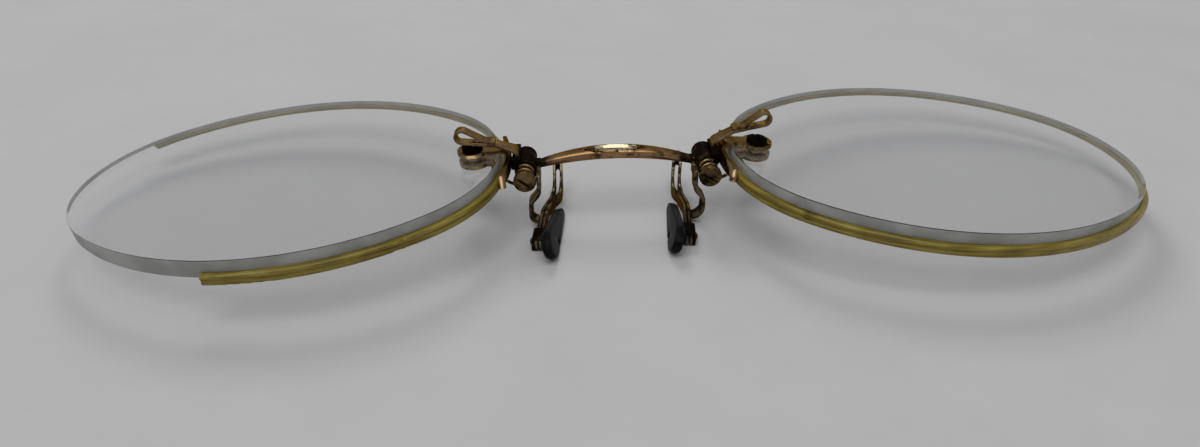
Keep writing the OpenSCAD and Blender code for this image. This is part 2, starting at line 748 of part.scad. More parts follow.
// The S-shaped arm from the yoke's lug down to the guard strip, which is bent inboard by shift
module guard_arm(shift) {
    drop = 1.46;
    foot_z = 0.617;
    foot_r = arm_bulge - guard_x - strip_half + shift - foot_play;
    top = hub_z + lug_top;
    swing_drop = (arm_out_r + arm_back_r) * sin(arm_swing) + arm_slant * cos(arm_swing);
    across(arm_near, arm_near + arm_w) translate([arm_x, top]) rotate(-90) bent_strip([
        [drop], [arm_out_r, arm_swing], [arm_slant], [arm_back_r, -arm_swing],
        [top - drop - foot_z - swing_drop - foot_r],
        [foot_r, -90]
    ], arm_t);
    translate([arm_x - arm_t / 2, arm_near, hub_z + lug_low])
        cube([arm_t, low_ear_far - arm_near, lug_top - lug_low]);
}

// Turns a guard about the foot of its arm, and moves it inboard by shift
module guard_place(turn, shift) {
    pin = [guard_x + strip_half, arm_near + arm_w / 2, 0];
    translate(pin - [shift, 0, 0]) rotate(turn) translate(-pin) children();
}

// The guard strip seen from above: out along the outboard strand, round the hairpin and back
module guard_plan() {
    sweep_r = 4;
    part_r = 2;
    slant_len = 1.6;
    curl_angle = 20;
    end_len = 1.0;
    open_half = hairpin_w / 2;
    part_angle = acos(1 - (open_half - strand_off) / (2 * part_r));
    near_len = guard_bend - guard_near;
    translate([guard_x + strand_off, guard_near]) rotate(90) bent_wire([
        [near_len], [sweep_r + strand_off, guard_slant], [slant_len],
        [part_r, -part_angle], [part_r, part_angle], [sweep_r - open_half, -curl_angle], [end_len],
        [open_half, 180],
        [end_len], [sweep_r + open_half, curl_angle], [part_r, part_angle], [part_r, -part_angle],
        [slant_len], [sweep_r - strand_off, -guard_slant], [near_len]
    ], guard_t);
}

// The guard strip's height profile: flat on the table, then bent up
module guard_side() {
    lift_r = 0.9;
    translate([guard_near - 1, guard_w / 2])
        bent_wire([[guard_flat + 1], [lift_r, guard_lift], [tall / 3]], guard_w);
}

module guard_loop() {
    difference() {
        intersection() {
            translate([0, 0, -1]) linear_extrude(10) guard_plan();
            sideways(0, 12) guard_side();
        }
        rivet_hole(rivet_r + rivet_play);
    }
}

module rivet_hole(r) {
    translate([0, rivet_y, rivet_z]) rotate([0, 90, 0]) cylinder(r = r, h = 12, $fn = round_fn);
}

// The folded clip that grips both strands of the strip at the pad
module pad_clip() {
    span = 2 * (strip_half + clip_gap) + clip_t;
    fold = 0.2;
    top = clip_top - clip_t / 2;
    inner_low = 0.3;
    outer_low = 0.1;
    difference() {
        across(guard_near, guard_near + clip_len)
            translate([guard_x - span / 2, inner_low]) rotate(90) bent_strip([
                [top - fold - inner_low], [fold, -90], [span - 2 * fold], [fold, -90],
                [top - fold - outer_low]
            ], clip_t);
        rivet_hole(rivet_r + rivet_play);
    }
}

// The rivet: a flat head in the pad's dimple and a bead outside the clip
module pad_rivet() {
    inner = pad_face + dimple_d;
    outer = guard_x + strip_half + clip_gap + clip_t;
    bead_h = 0.22;
    head_h = 0.2;
    bead_dome_r = (rivet_bead_r * rivet_bead_r + bead_h * bead_h) / (2 * bead_h);
    translate([0, rivet_y, rivet_z]) rotate([0, 90, 0]) {
        translate([0, 0, inner - head_h]) cylinder(r = rivet_bead_r - rivet_play, h = head_h, $fn = round_fn);
        translate([0, 0, inner - eps]) cylinder(r = rivet_r, h = outer - inner + 2 * eps, $fn = round_fn);
        intersection() {
            translate([0, 0, outer]) cylinder(r = rivet_bead_r, h = bead_h, $fn = round_fn);
            translate([0, 0, outer + bead_h - bead_dome_r]) sphere(r = bead_dome_r, $fn = 160);
        }
    }
}

// The leaf-shaped pad, which leans and rests its lower edge on the table
module pad() {
    tip_lift = 0.15;
    tip_z = (pad_tip_h - pad_h) / 2 + tip_lift;
    difference() {
        intersection() {
            translate([pad_mid, 0, pad_mid_z]) rotate([0, pad_tilt, 0]) intersection() {
                hull() {
                    translate([0, pad_near + pad_round, 0])
                        scale([pad_swell / 2, pad_round, pad_h / 2]) sphere(r = 1, $fn = 32);
                    translate([0, pad_near + pad_len - pad_tip_round, tip_z])
                        scale([pad_swell / 2, pad_tip_round, pad_tip_h / 2]) sphere(r = 1, $fn = 24);
                }
                translate([-pad_t / 2, pad_near - 1, -pad_h]) cube([pad_t, pad_len + 2, 2 * pad_h]);
            }
            translate([0, pad_near - 1, 0]) cube([tall, pad_len + 2, tall]);
        }
        rivet_hole(rivet_r + rivet_play);
        translate([0, rivet_y, rivet_z]) rotate([0, 90, 0])
            cylinder(r = rivet_bead_r, h = pad_face + dimple_d, $fn = round_fn);
    }
}

module left_guard_place() {
    guard_place(guard_turn, 0) children();
}

module right_guard_place() {
    guard_place(-guard_turn, guard_shift_right) children();
}

module left_lens() { color([0.86, 0.88, 0.88, 0.4]) at_left() lens(); }
module right_lens() { color([0.86, 0.88, 0.88, 0.4]) at_right() lens(); }
module left_rim() { color([0.6, 0.52, 0.16]) at_left() rim(break_rear, joint_angle, break_front); }
module right_rim() { color([0.6, 0.52, 0.16]) at_right() rim(-joint_angle, joint_angle, 360 - joint_angle); }
module bridge() { color([0.68, 0.48, 0.34]) translate([-centre_shift, 0, 0]) bridge_bar(); }
module left_stud() { color([0.16, 0.12, 0.09]) at_left() stud(); }
module right_stud() { color([0.16, 0.12, 0.09]) at_right() stud(); }
module left_strap() { color([0.72, 0.57, 0.36]) at_left() strap(); }
module right_strap() { color([0.72, 0.57, 0.36]) at_right() strap(); }
module left_lens_screw() { color([0.1, 0.08, 0.07]) at_left() lens_screw(); }
module right_lens_screw() { color([0.1, 0.08, 0.07]) at_right() lens_screw(); }
module left_pivot_screw() { color([0.42, 0.3, 0.14]) at_left() pivot_screw(-slot_turn_left); }
module right_pivot_screw() { color([0.42, 0.3, 0.14]) at_right() pivot_screw(slot_turn_right); }
module left_coil_spring() { color([0.62, 0.46, 0.22]) at_left() coil_spring(); }
module right_coil_spring() { color([0.62, 0.46, 0.22]) at_right() coil_spring(); }
module left_yoke() { color([0.2, 0.15, 0.1]) at_left() yoke(); }
module right_yoke() { color([0.2, 0.15, 0.1]) at_right() yoke(); }
module left_finger_strip() {
    color([0.78, 0.64, 0.42]) at_left() finger_strip(finger_rise_left, finger_flatten_left, finger_y_left);
}
module right_finger_strip() {
    color([0.78, 0.64, 0.42]) at_right()
        finger_strip(finger_rise_right, finger_flatten_right, finger_y_right);
}
module left_guard_arm() { color([0.34, 0.27, 0.2]) at_left() guard_arm(0); }
module right_guard_arm() { color([0.34, 0.27, 0.2]) at_right() guard_arm(guard_shift_right); }
module left_guard_loop() { color([0.42, 0.34, 0.25]) at_left() left_guard_place() guard_loop(); }
module right_guard_loop() { color([0.42, 0.34, 0.25]) at_right() right_guard_place() guard_loop(); }
module left_pad_clip() { color([0.14, 0.11, 0.08]) at_left() left_guard_place() pad_clip(); }
module right_pad_clip() { color([0.14, 0.11, 0.08]) at_right() right_guard_place() pad_clip(); }
module left_pad_rivet() { color([0.5, 0.42, 0.32]) at_left() left_guard_place() pad_rivet(); }
module right_pad_rivet() { color([0.5, 0.42, 0.32]) at_right() right_guard_place() pad_rivet(); }
module left_pad() { color([0.15, 0.15, 0.16]) at_left() left_guard_place() pad(); }
module right_pad() { color([0.15, 0.15, 0.16]) at_right() right_guard_place() pad(); }

left_lens();
right_lens();
left_rim();
right_rim();
bridge();
left_stud();
right_stud();
left_strap();
right_strap();
left_lens_screw();
right_lens_screw();
left_pivot_screw();
right_pivot_screw();
left_coil_spring();
right_coil_spring();
left_yoke();
right_yoke();
left_finger_strip();
right_finger_strip();
left_guard_arm();
right_guard_arm();
left_guard_loop();
right_guard_loop();
left_pad_clip();
right_pad_clip();
left_pad_rivet();
right_pad_rivet();
left_pad();
right_pad();
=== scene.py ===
"""Finishes for a finger-piece pince-nez that lies on a pale table."""

import logging
import math
from dataclasses import dataclass
from enum import Enum
from typing import Callable, Sequence

import bpy
from mathutils import Matrix, Vector

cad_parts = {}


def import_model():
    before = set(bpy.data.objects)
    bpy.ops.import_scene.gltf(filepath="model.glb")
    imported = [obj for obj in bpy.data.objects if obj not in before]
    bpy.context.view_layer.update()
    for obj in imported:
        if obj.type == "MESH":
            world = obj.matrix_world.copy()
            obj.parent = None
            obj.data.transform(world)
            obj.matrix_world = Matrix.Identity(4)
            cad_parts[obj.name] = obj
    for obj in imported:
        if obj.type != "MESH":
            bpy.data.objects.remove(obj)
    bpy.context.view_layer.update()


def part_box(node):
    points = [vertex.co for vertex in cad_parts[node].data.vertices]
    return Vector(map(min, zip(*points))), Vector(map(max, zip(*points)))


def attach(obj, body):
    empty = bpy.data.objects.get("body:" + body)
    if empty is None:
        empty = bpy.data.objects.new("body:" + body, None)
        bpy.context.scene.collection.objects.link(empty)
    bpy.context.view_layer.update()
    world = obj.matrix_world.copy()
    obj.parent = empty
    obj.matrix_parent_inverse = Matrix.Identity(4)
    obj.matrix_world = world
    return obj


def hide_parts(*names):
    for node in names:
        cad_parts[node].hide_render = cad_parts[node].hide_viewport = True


LOG = logging.getLogger("pince_nez")
MM = 0.001
Colour = tuple[float, float, float]
Point = tuple[float, float, float]
Steps = Sequence[tuple[float, ...]]


class Side(Enum):
    """The wearer's two sides, by the sign of X that points outboard."""

    LEFT = -1
    RIGHT = 1

    def node(self, piece: str) -> str:
        """Returns the name of this side's CAD node of a piece."""
        return f"{self.name.lower()}_{piece}"

    @property
    def lever(self) -> str:
        """Returns the CAD body of this side's lever."""
        return self.node("lever")


class Value:
    """A socket's value, on which arithmetic adds Math nodes."""

    def __init__(self, net: "Net", socket: bpy.types.NodeSocket) -> None:
        """Wraps one output socket.

        Args:
            net: the material's nodes.
            socket: the output that holds the value.
        """
        self.net = net
        self.socket = socket

    def _math(self, operation: str, first: object, second: object = 0.0) -> "Value":
        """Adds one Math node.

        Args:
            operation: Blender's name of the operation.
            first: the upper input, a value or a number.
            second: the lower input, a value or a number.

        Returns:
            The node's result.
        """
        return self.net.node("ShaderNodeMath", {"operation": operation}, {0: first, 1: second})

    def __add__(self, other: object) -> "Value":
        """Returns self + other."""
        return self._math("ADD", self, other)

    __radd__ = __add__

    def __mul__(self, other: object) -> "Value":
        """Returns self * other."""
        return self._math("MULTIPLY", self, other)

    __rmul__ = __mul__

    def __sub__(self, other: object) -> "Value":
        """Returns self - other."""
        return self._math("SUBTRACT", self, other)

    def __rsub__(self, other: object) -> "Value":
        """Returns other - self."""
        return self._math("SUBTRACT", other, self)

    def __truediv__(self, other: object) -> "Value":
        """Returns self / other."""
        return self._math("DIVIDE", self, other)

    def size(self) -> "Value":
        """Returns the value without its sign."""
        return self._math("ABSOLUTE", self)

    def angle_with(self, other: "Value") -> "Value":
        """Returns the direction of the point (other, self), in radians."""
        return self._math("ARCTAN2", self, other)

    def band(self, low: float, high: float) -> "Value":
        """Returns a soft step from 0 below low to 1 above high."""
        settings = {"interpolation_type": "SMOOTHSTEP"}
        limits = {"Value": self, "From Min": low, "From Max": high}
        return self.net.node("ShaderNodeMapRange", settings, limits)

    def capped(self) -> "Value":
        """Returns the value held between 0 and 1."""
        return self.net.node("ShaderNodeClamp", {}, {"Value": self})


class Net:
    """The nodes of one material."""

    def __init__(self, name: str) -> None:
        """Starts an empty material.

        Args:
            name: the material's name.
        """
        self.material = bpy.data.materials.new(name)
        self.material.use_nodes = True
        self.tree = self.material.node_tree
        self.tree.nodes.clear()

    def node(self, kind: str, settings: dict, inputs: dict, output: int | str = 0) -> Value:
        """Adds a node.

        Args:
            kind: Blender's type of the node.
            settings: the node's own settings, a ramp's stops among them.
            inputs: a value or a number for each named or numbered input.
            output: the output to return.

        Returns:
            The chosen output, or the node's first one.
        """
        made = self.tree.nodes.new(kind)
        for key, setting in settings.items():
            if key == "stops":
                self._set_stops(made.color_ramp, setting)
            else:
                setattr(made, key, setting)
        for key, given in inputs.items():
            if isinstance(given, Value):
                self.tree.links.new(given.socket, made.inputs[key])
            else:
                made.inputs[key].default_value = given
        return Value(self, made.outputs[output]) if made.outputs else Value(self, None)

    @staticmethod
    def _set_stops(ramp: bpy.types.ColorRamp, stops: Sequence[tuple[float, Colour]]) -> None:
        """Gives a ramp its stops.

        Args:
            ramp: the ramp, which starts with two stops.
            stops: each stop's place and colour, in order.
        """
        while len(ramp.elements) < len(stops):
            ramp.elements.new(0.5)
        for element, (place, colour) in zip(ramp.elements, stops):
            element.position = place
            element.color = (*colour, 1)

    def place(self) -> Value:
        """Returns the point on the object, in millimetres."""
        here = self.node("ShaderNodeTexCoord", {}, {}, "Object")
        return self.node("ShaderNodeVectorMath", {"operation": "SCALE"}, {0: here, "Scale": 1 / MM})

    def parts(self, point: Value) -> tuple[Value, Value, Value]:
        """Returns the three coordinates of a point."""
        split = self.node("ShaderNodeSeparateXYZ", {}, {0: point}).socket.node
        return tuple(Value(self, split.outputs[i]) for i in range(3))

    def point(self, x: object, y: object, z: object) -> Value:
        """Returns the point that has these three coordinates."""
        return self.node("ShaderNodeCombineXYZ", {}, {0: x, 1: y, 2: z})

    def stretched(self, point: Value, factors: Point) -> Value:
        """Returns the point with each of its coordinates scaled."""
        return self.node("ShaderNodeMapping", {}, {0: point, "Scale": factors})

    def noise(self, point: Value, scale: float, detail: float = 3.0, rough: float = 0.55) -> Value:
        """Adds a noise texture.

        Args:
            point: where it is read, in millimetres.
            scale: features per millimetre.
            detail: octaves.
            rough: share that each octave keeps.

        Returns:
            A value that lies mostly between 0.3 and 0.7.
        """
        inputs = {"Vector": point, "Scale": scale, "Detail": detail, "Roughness": rough}
        return self.node("ShaderNodeTexNoise", {}, inputs)

    def blend(self, share: object, first: object, second: object) -> Value:
        """Mixes two colours.

        Args:
            share: 0 for the first colour and 1 for the second.
            first: a colour or a value.
            second: a colour or a value.

        Returns:
            The mixed colour.
        """
        tones = [tone if isinstance(tone, Value) else (*tone, 1) for tone in (first, second)]
        mix = self.node("ShaderNodeMix", {"data_type": "RGBA"}, {0: share, 6: tones[0], 7: tones[1]}, 2)
        return mix

    def edges(self, width: float) -> Value:
        """Finds where a surface turns sharply.

        Args:
            width: reach of an edge, in millimetres.

        Returns:
            A value of 0 on flat faces that rises towards 1 on edges.
        """
        soft = self.node("ShaderNodeBevel", {"samples": 6}, {"Radius": width * MM})
        true = self.node("ShaderNodeNewGeometry", {}, {}, "Normal")
        product = {"operation": "DOT_PRODUCT"}
        likeness = self.node("ShaderNodeVectorMath", product, {0: soft, 1: true}, "Value")
        return (1 - likeness).band(0.01, 0.2)

    def bump(self, height: Value, depth: float) -> Value:
        """Turns a height of 0 to 1 into a normal.

        Args:
            height: the relief.
            depth: height of a value of 1, in millimetres.

        Returns:
            The normal.
        """
        return self.node("ShaderNodeBump", {}, {"Height": height, "Distance": depth * MM, "Strength": 1.0})

    def principled(self, **inputs: object) -> Value:
        """Adds a Principled shader, its sockets named with underscores for spaces."""
        named = {key.replace("_", " "): given for key, given in inputs.items()}
        return self.node("ShaderNodeBsdfPrincipled", {}, named)

    def mix_shaders(self, share: object, first: Value, second: Value) -> Value:
        """Returns the first shader at a share of 0 and the second one at 1."""
        return self.node("ShaderNodeMixShader", {}, {0: share, 1: first, 2: second})

    def done(self, shader: Value) -> bpy.types.Material:
        """Sends a shader to the surface and returns the material."""
        self.node("ShaderNodeOutputMaterial", {}, {"Surface": shader})
        return self.material


@dataclass(frozen=True)
class WornMetal:
    """Gold-filled brass, partly under tarnish.

    A higher cover spreads the tarnish. A rubbed value above 0 bares the edges, and one below 0 dirties them.
    """

    name: str
    clean: Colour
    warm: Colour
    tarnish: Colour
    cover: float
    gloss: float = 0.2
    dull: float = 0.55
    rubbed: float = 0.8
    edge_mm: float = 0.06
    relief: float = 0.003
    blotches: float = 0.9
    grit: float = 7.0
    grit_share: float = 0.2
    grit_rough: float = 0.18
    drift: float = 0.45
    hairlines: Point = (1.0, 9.0, 4.0)
    non_metal: float = 0.25
    sheen: Colour = (0.5, 0.36, 0.22)
    dirt: Callable[[Net, Value], Value] | None = None

    def material(self) -> bpy.types.Material:
        """Builds the metal: blotched tarnish, rubbed edges, hairlines and pits.

        Returns:
            The material.
        """
        net = Net(self.name)
        here = net.place()
        blotch = net.noise(here, self.blotches, 5.0, 0.62)
        grit = net.noise(here, self.grit, 4.0, 0.6)
        hair = net.noise(net.stretched(here, self.hairlines), 5.0, 2.0)
        least = 0.56 - self.cover * 0.3
        tarnish = (blotch * (1 - self.grit_share) + grit * self.grit_share).band(least, least + 0.18)
        if self.dirt:
            tarnish = tarnish + self.dirt(net, here)
        tarnish = (tarnish - net.edges(self.edge_mm) * self.rubbed).capped()
        metal = net.blend(net.noise(here, self.drift, 3.0).band(0.35, 0.65), self.clean, self.warm)
        colour = net.blend(tarnish, metal, self.tarnish)
        least_rough = self.gloss - self.grit_rough / 2
        rough = tarnish * (self.dull - self.gloss) + grit * self.grit_rough + least_rough
        relief = hair * 0.4 + grit * 0.6 * (tarnish * 0.8 + 0.2)
        return net.done(net.principled(
            Base_Color=colour, Metallic=1 - tarnish * self.non_metal, Roughness=rough,
            Normal=net.bump(relief, self.relief), Specular_IOR_Level=0.1, Specular_Tint=(*self.sheen, 1),
        ))


def dark_ends(middle: float, reach: float, fade: float, wander: float) -> Callable[[Net, Value], Value]:
    """Makes a mask of dirt that gathers at both ends of a bar along X.

    Args:
        middle: X of the bar's middle, in millimetres.
        reach: half length of the clean stretch.
        fade: length over which the dirt grows.
        wander: most that the dirt's border strays either way.

    Returns:
        A function that builds the mask.
    """

    def mask(net: Net, here: Value) -> Value:
        """Builds the mask.

        Args:
            net: the material's nodes.
            here: the point on the object, in millimetres.

        Returns:
            A value of 0 on the clean stretch and up to 1 at the ends.
        """
        x, _, _ = net.parts(here)
        stray = net.noise(here, 1.3, 4.0) * (2 * wander) - wander
        return ((x - middle).size() + stray).band(reach, reach + fade)

    return mask


@dataclass(frozen=True)
class Celluloid:
    """Yellowed celluloid, streaked along its length and clouded by age."""

    name: str
    centre: Point
    half_w: float
    half_h: float
    brown: Colour = (0.06, 0.038, 0.004)
    olive: Colour = (0.19, 0.14, 0.013)
    yellow: Colour = (0.33, 0.27, 0.045)
    stain: Colour = (0.03, 0.018, 0.008)
    worn: Colour = (0.4, 0.36, 0.14)
    edge_mm: float = 0.12
    relief: float = 0.02

    def material(self) -> bpy.types.Material:
        """Builds the celluloid with streaks that follow the strip round the lens.

        Returns:
            The material.
        """
        net = Net(self.name)
        here = net.place()
        x, y, z = net.parts(here)
        out_x = (x - self.centre[0]) / self.half_w
        out_y = (y - self.centre[1]) / self.half_h
        along = out_y.angle_with(out_x)
        out = (out_x * out_x + out_y * out_y) * self.half_h
        streak = net.noise(net.point(along * 2.2, out * 2.4, z * 3.4), 1.6, 4.0, 0.6)
        speck = net.noise(net.point(along * 16, out * 3, z * 5), 2.1, 4.0, 0.7)
        cloud = net.noise(here, 0.32, 3.0)
        stain = (speck.band(0.6, 0.72) * cloud.band(0.42, 0.6)).capped()
        stops = ((0.3, self.brown), (0.5, self.olive), (0.72, self.yellow))
        tone = net.node("ShaderNodeValToRGB", {"stops": stops}, {0: streak * 0.6 + cloud * 0.4})
        colour = net.blend(stain * 0.8, tone, self.stain)
        colour = net.blend(net.edges(self.edge_mm) * 0.3, colour, self.worn)
        rough = streak * 0.2 + stain * 0.3 + 0.2
        relief = streak * 0.5 + speck * 0.5
        return net.done(net.principled(
            Base_Color=colour, Roughness=rough, Normal=net.bump(relief, self.relief),
            Subsurface_Weight=0.35, Subsurface_Radius=(1.0, 0.7, 0.2), Subsurface_Scale=0.0006,
            Coat_Weight=0.1, Coat_Roughness=0.2, Specular_IOR_Level=0.3,
        ))


@dataclass(frozen=True)
class ClearGlass:
    """Polished lens glass whose shadow stays light."""

    name: str = "lens_glass"
    tint: Colour = (0.955, 0.965, 0.96)
    shade: Colour = (0.88, 0.88, 0.88)
    smears: Point = (1.0, 2.6, 1.0)
    ior: float = 1.5

    def material(self) -> bpy.types.Material:
        """Builds the glass, with faint smears in its polish.

        Returns:
            The material.
        """
        net = Net(self.name)
        smear = net.noise(net.stretched(net.place(), self.smears), 0.16, 4.0)
        glass = net.principled(
            Base_Color=(*self.tint, 1), Roughness=smear.band(0.5, 0.75) * 0.05 + 0.01,
            IOR=self.ior, Transmission_Weight=1.0,
        )
        clear = net.node("ShaderNodeBsdfTransparent", {}, {"Color": (*self.shade, 1)})
        shadow = net.node("ShaderNodeLightPath", {}, {}, "Is Shadow Ray")
        bounced = net.node("ShaderNodeLightPath", {}, {}, "Is Diffuse Ray")
        return net.done(net.mix_shaders((shadow + bounced).capped(), glass, clear))


@dataclass(frozen=True)
class GroundEdge:
    """The lens's ground edge: grey, satin and slightly dirty."""

    name: str = "lens_edge"
    pale: Colour = (0.4, 0.4, 0.375)
    dark: Colour = (0.3, 0.299, 0.275)

    def material(self) -> bpy.types.Material:
        """Builds the ground glass.

        Returns:
            The material.
        """
        net = Net(self.name)
        here = net.place()
        mottle = net.noise(here, 0.35, 4.0)
        grain = net.noise(here, 12.0, 2.0)
        colour = net.blend(mottle.band(0.38, 0.62), self.dark, self.pale)
        return net.done(net.principled(
            Base_Color=colour, Roughness=grain * 0.25 + 0.45, Transmission_Weight=0.25, IOR=1.5,
            Normal=net.bump(grain, 0.004), Specular_IOR_Level=0.3,
        ))


@dataclass(frozen=True)
class PadPlastic:
    """Charcoal pad, scuffed grey where it rubs the nose."""

    name: str = "pad_charcoal"
    deep: Colour = (0.002, 0.002, 0.0022)
    scuffed: Colour = (0.01, 0.01, 0.0105)
    scratches: Point = (1.0, 2.2, 1.0)
    edge_mm: float = 0.15
    relief: float = 0.012

    def material(self) -> bpy.types.Material:
        """Builds the plastic with scuffs, pores and dulled edges.

        Returns:
            The material.
        """
        net = Net(self.name)
        here = net.place()
        scuff = net.noise(net.stretched(here, self.scratches), 1.4, 5.0, 0.65)
        pore = net.noise(here, 9.0, 3.0)
        share = (scuff.band(0.45, 0.66) * 0.7 + net.edges(self.edge_mm) * 0.6).capped()
        return net.done(net.principled(
            Base_Color=net.blend(share, self.deep, self.scuffed), Roughness=scuff * 0.3 + 0.28,
            Normal=net.bump(scuff * 0.5 + pore * 0.5, self.relief), Specular_IOR_Level=0.07,
        ))


@dataclass(frozen=True)
class TableTop:
    """Pale matt table."""

    name: str = "table_top"
    tone: Colour = (0.452, 0.441, 0.437)
    darkest: float = 0.965

    def material(self) -> bpy.types.Material:
        """Builds the table's faintly mottled matt surface.

        Returns:
            The material.
        """
        net = Net(self.name)
        mottle = net.noise(net.place(), 0.05, 5.0, 0.7)
        darker = tuple(channel * self.darkest for channel in self.tone)
        return net.done(net.principled(
            Base_Color=net.blend(mottle.band(0.35, 0.65), darker, self.tone), Roughness=0.65,
        ))


ROSE_BAR = WornMetal(
    "rose_gold_bar", clean=(0.34, 0.21, 0.1), warm=(0.25, 0.145, 0.065), tarnish=(0.02, 0.012, 0.006),
    cover=0.2, gloss=0.24, dirt=dark_ends(middle=-0.27, reach=5.3, fade=1.5, wander=0.8),
)
# Painted highlight: the crown flat's gold is far paler than the bar's own gold, so the flat shows as a
# bright oval; like polished metal, it is also left untarnished.
POLISHED_GOLD_AND_HIGHLIGHT = WornMetal(
    "polished_flat_painted_highlight", clean=(0.98, 0.86, 0.62), warm=(0.9, 0.74, 0.5), tarnish=(0.4, 0.28, 0.16),
    cover=-0.5, gloss=0.18, rubbed=0,
)
PALE_GOLD = WornMetal(
    "pale_gold_sheet", clean=(0.3, 0.205, 0.105), warm=(0.21, 0.135, 0.065), tarnish=(0.014, 0.009, 0.005),
    cover=0.22, gloss=0.26, rubbed=-0.8, edge_mm=0.12,
)
DARK_METAL = WornMetal(
    "tarnished_hub", clean=(0.11, 0.07, 0.035), warm=(0.07, 0.045, 0.025), tarnish=(0.007, 0.005, 0.003),
    cover=0.95, rubbed=0.2,
)
AGED_METAL = WornMetal(
    "aged_strip", clean=(0.17, 0.135, 0.085), warm=(0.11, 0.085, 0.05), tarnish=(0.01, 0.008, 0.005),
    cover=0.35, rubbed=-0.6, edge_mm=0.1,
)
BLACK_SCREW = WornMetal(
    "blackened_screw", clean=(0.03, 0.026, 0.022), warm=(0.02, 0.017, 0.014), tarnish=(0.004, 0.0035, 0.003),
    cover=1.0, rubbed=0.1,
)
BRONZE_SCREW = WornMetal(
    "bronze_screw", clean=(0.2, 0.13, 0.06), warm=(0.13, 0.08, 0.035), tarnish=(0.01, 0.006, 0.003),
    cover=0.4, rubbed=0.3,
)
SPRING_GOLD = WornMetal(
    "spring_gold", clean=(0.26, 0.17, 0.08), warm=(0.18, 0.11, 0.05), tarnish=(0.012, 0.008, 0.004),
    cover=0.35, rubbed=0.2,
)


